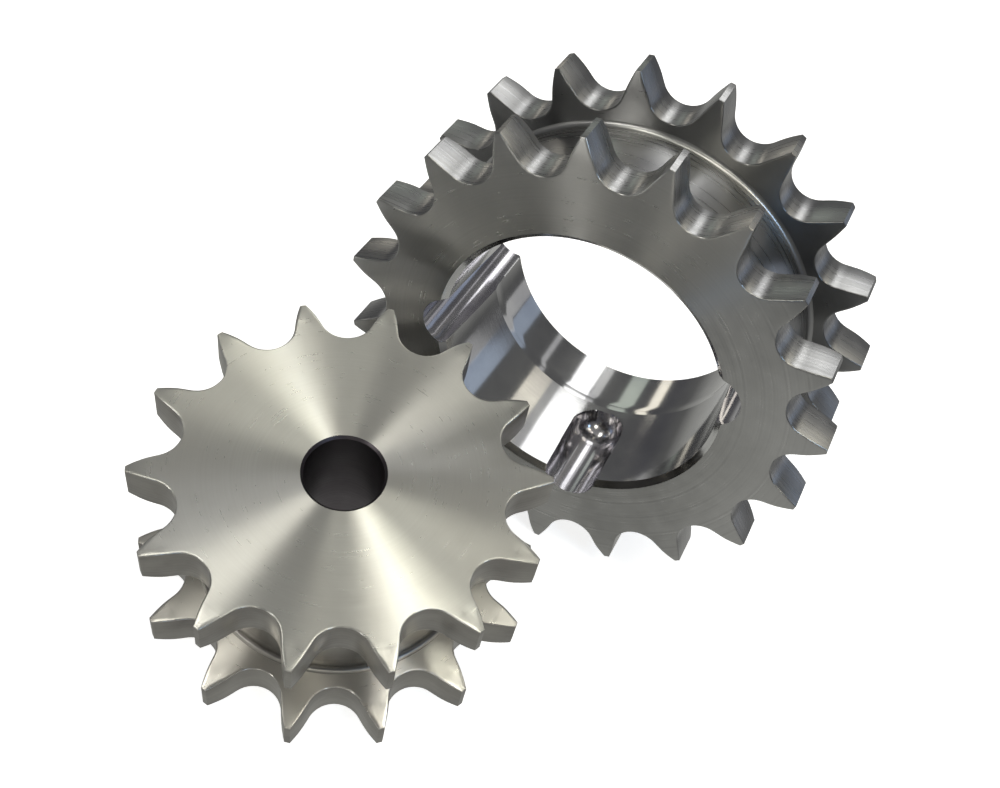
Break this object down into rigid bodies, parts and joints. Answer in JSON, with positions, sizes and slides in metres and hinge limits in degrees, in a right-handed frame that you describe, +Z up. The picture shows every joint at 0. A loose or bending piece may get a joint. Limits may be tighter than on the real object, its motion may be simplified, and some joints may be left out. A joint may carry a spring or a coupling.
{
  "type": "double-row chain sprocket pair",
  "caption": "Pair of steel double-row chain sprockets: a larger one with a taper bore for a split bush stands upright, and a smaller one with a pilot bore lies by it.",
  "frame": {"origin": "on the surface the pair stands on, under the middle of the pair's bounding box", "axes": "+Z up; +Y along the larger sprocket's axis, from its front face towards its rear face; +X to the right when the larger sprocket's front face is looked at"},
  "size_m": [0.0928, 0.0966, 0.0822],
  "materials": {
    "large_front_toothed_plate": "turned and milled steel, bright bore, oiled grey faces",
    "large_hub": "turned and milled steel, bright bore, oiled grey faces",
    "large_rear_toothed_plate": "turned and milled steel, bright bore, oiled grey faces",
    "small_front_toothed_plate": "turned and milled steel with fine concentric tool marks",
    "small_hub": "turned and milled steel with fine concentric tool marks",
    "small_rear_toothed_plate": "turned and milled steel with fine concentric tool marks"
  },
  "bodies": {
    "small_sprocket": {"small_front_toothed_plate": "small_front_toothed_plate", "small_hub": "small_hub", "small_rear_toothed_plate": "small_rear_toothed_plate"},
    "large_sprocket": {"large_front_toothed_plate": "large_front_toothed_plate", "large_hub": "large_hub", "large_rear_toothed_plate": "large_rear_toothed_plate"}
  },
  "joints": [
    {"name": "large_sprocket_spin", "type": "hinge", "parent": "small_sprocket", "child": "large_sprocket", "pos_m": [0.0053, 0.03348, 0.04095], "axis": [0, -1, 0], "continuous": true}
  ]
}
